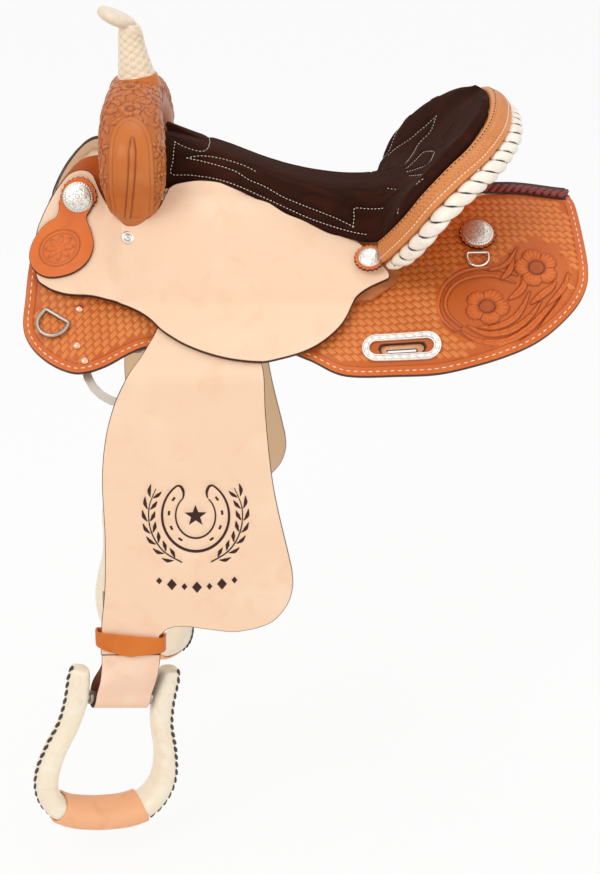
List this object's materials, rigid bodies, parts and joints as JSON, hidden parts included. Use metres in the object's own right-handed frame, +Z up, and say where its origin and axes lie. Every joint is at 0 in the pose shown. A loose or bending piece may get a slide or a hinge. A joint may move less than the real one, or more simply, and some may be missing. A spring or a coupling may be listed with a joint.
{
  "type": "western saddle",
  "caption": "Western barrel racing saddle with rawhide horn, suede seat, leather skirts, hanging fenders and stirrups; a rider's seat for a horse.",
  "frame": {"origin": "crest of the rack or back that carries the saddle, midway along the tree bars", "axes": "+X towards the horse's tail, -Y the saddle's left side, +Z up"},
  "size_m": [0.632, 0.5326, 0.9128],
  "materials": {
    "tan_leather": "oiled, tooled",
    "pale_leather": "undyed, smooth grain",
    "strap_leather": "waxed",
    "suede": "rough-out suede",
    "rawhide": "varnished rawhide",
    "dark_lace": "waxed lace",
    "fleece_wool": "deep pile",
    "foam": "open cell foam",
    "tree_wood": "sealed",
    "silver": "engraved, polished",
    "steel": "satin"
  },
  "bodies": {
    "saddle": {"tree_fork": "tree_wood", "tree_cantle": "tree_wood", "horn_post": "steel", "horn_wrap": "rawhide", "horn_cap": "rawhide", "swell_cover": "tan_leather", "gullet_cover": "tan_leather", "ground_seat": "strap_leather", "seat_padding": "foam", "seat_cover": "suede", "cantle_roll": "tan_leather", "cantle_binding": "rawhide", "cantle_back": "tan_leather", "skirt_lace": "dark_lace", "tree_bar_left": "tree_wood", "jockey_left": "pale_leather", "skirt_left": "tan_leather", "fleece_left": "fleece_wool", "concho_keeper_left": "tan_leather", "front_concho_left": "silver", "corner_concho_left": "silver", "rear_concho_left": "silver", "corner_rosette_left": "tan_leather", "rear_rosette_left": "tan_leather", "rigging_ring_left": "steel", "slot_plate_left": "silver", "stirrup_leather_left": "strap_leather", "tree_bar_right": "tree_wood", "jockey_right": "pale_leather", "skirt_right": "tan_leather", "fleece_right": "fleece_wool", "concho_keeper_right": "tan_leather", "front_concho_right": "silver", "corner_concho_right": "silver", "rear_concho_right": "silver", "corner_rosette_right": "tan_leather", "rear_rosette_right": "tan_leather", "rigging_ring_right": "steel", "slot_plate_right": "silver", "stirrup_leather_right": "strap_leather"},
    "left_fender_top": {"fender_top_left": "pale_leather"},
    "left_fender": {"fender_left": "pale_leather", "hobble_strap_left": "strap_leather", "leather_buckle_left": "steel"},
    "left_neck": {"stirrup_neck_left": "pale_leather"},
    "left_stirrup": {"stirrup_left": "rawhide", "stirrup_bolt_left": "steel", "tread_cover_left": "strap_leather"},
    "left_breast_dee": {"breast_dee_left": "steel"},
    "left_rear_dee": {"rear_dee_left": "silver"},
    "right_fender_top": {"fender_top_right": "pale_leather"},
    "right_fender": {"fender_right": "pale_leather", "hobble_strap_right": "strap_leather", "leather_buckle_right": "steel"},
    "right_neck": {"stirrup_neck_right": "pale_leather"},
    "right_stirrup": {"stirrup_right": "rawhide", "stirrup_bolt_right": "steel", "tread_cover_right": "strap_leather"},
    "right_breast_dee": {"breast_dee_right": "steel"},
    "right_rear_dee": {"rear_dee_right": "silver"}
  },
  "joints": [
    {"name": "left_fender_swing", "type": "hinge", "parent": "saddle", "child": "left_fender_top", "pos_m": [-0.112, -0.07676, -0.0235], "axis": [0, -0.6691, 0.7431], "range_deg": [-8, 15]},
    {"name": "left_fender_lift", "type": "hinge", "parent": "left_fender_top", "child": "left_fender", "pos_m": [-0.112, -0.18139, -0.11502], "axis": [-1, 0, 0], "range_deg": [0, 62]},
    {"name": "left_stirrup_twist", "type": "hinge", "parent": "left_fender", "child": "left_neck", "pos_m": [-0.192, -0.21505, -0.43526], "axis": [0, -0.1045, -0.9945], "range_deg": [-45, 45], "stiffness_Nm_per_rad": 0.6},
    {"name": "left_stirrup_swing", "type": "hinge", "parent": "left_neck", "child": "left_stirrup", "pos_m": [-0.207, -0.209, -0.494], "axis": [0.9192, 0.3345, -0.2079], "range_deg": [-60, 60]},
    {"name": "left_breast_dee_swing", "type": "hinge", "parent": "saddle", "child": "left_breast_dee", "pos_m": [-0.265, -0.12635, -0.06257], "axis": [-0.8292, 0.4103, 0.3797], "range_deg": [0, 110]},
    {"name": "left_rear_dee_swing", "type": "hinge", "parent": "saddle", "child": "left_rear_dee", "pos_m": [0.201, -0.07926, -0.00727], "axis": [-1, 0.0021, -0.0023], "range_deg": [0, 100]},
    {"name": "right_fender_swing", "type": "hinge", "parent": "saddle", "child": "right_fender_top", "pos_m": [-0.112, 0.07676, -0.0235], "axis": [0, -0.6691, -0.7431], "range_deg": [-8, 15]},
    {"name": "right_fender_lift", "type": "hinge", "parent": "right_fender_top", "child": "right_fender", "pos_m": [-0.112, 0.18139, -0.11502], "axis": [1, 0, 0], "range_deg": [0, 62]},
    {"name": "right_stirrup_twist", "type": "hinge", "parent": "right_fender", "child": "right_neck", "pos_m": [-0.192, 0.21505, -0.43526], "axis": [0, 0.1045, -0.9945], "range_deg": [-45, 45], "stiffness_Nm_per_rad": 0.6},
    {"name": "right_stirrup_swing", "type": "hinge", "parent": "right_neck", "child": "right_stirrup", "pos_m": [-0.207, 0.209, -0.494], "axis": [0.743, -0.669, 0.0175], "range_deg": [-60, 60]},
    {"name": "right_breast_dee_swing", "type": "hinge", "parent": "saddle", "child": "right_breast_dee", "pos_m": [-0.265, 0.12635, -0.06257], "axis": [0.8292, 0.4103, -0.3797], "range_deg": [0, 110]},
    {"name": "right_rear_dee_swing", "type": "hinge", "parent": "saddle", "child": "right_rear_dee", "pos_m": [0.201, 0.07926, -0.00727], "axis": [1, 0.0021, 0.0023], "range_deg": [0, 100]}
  ]
}
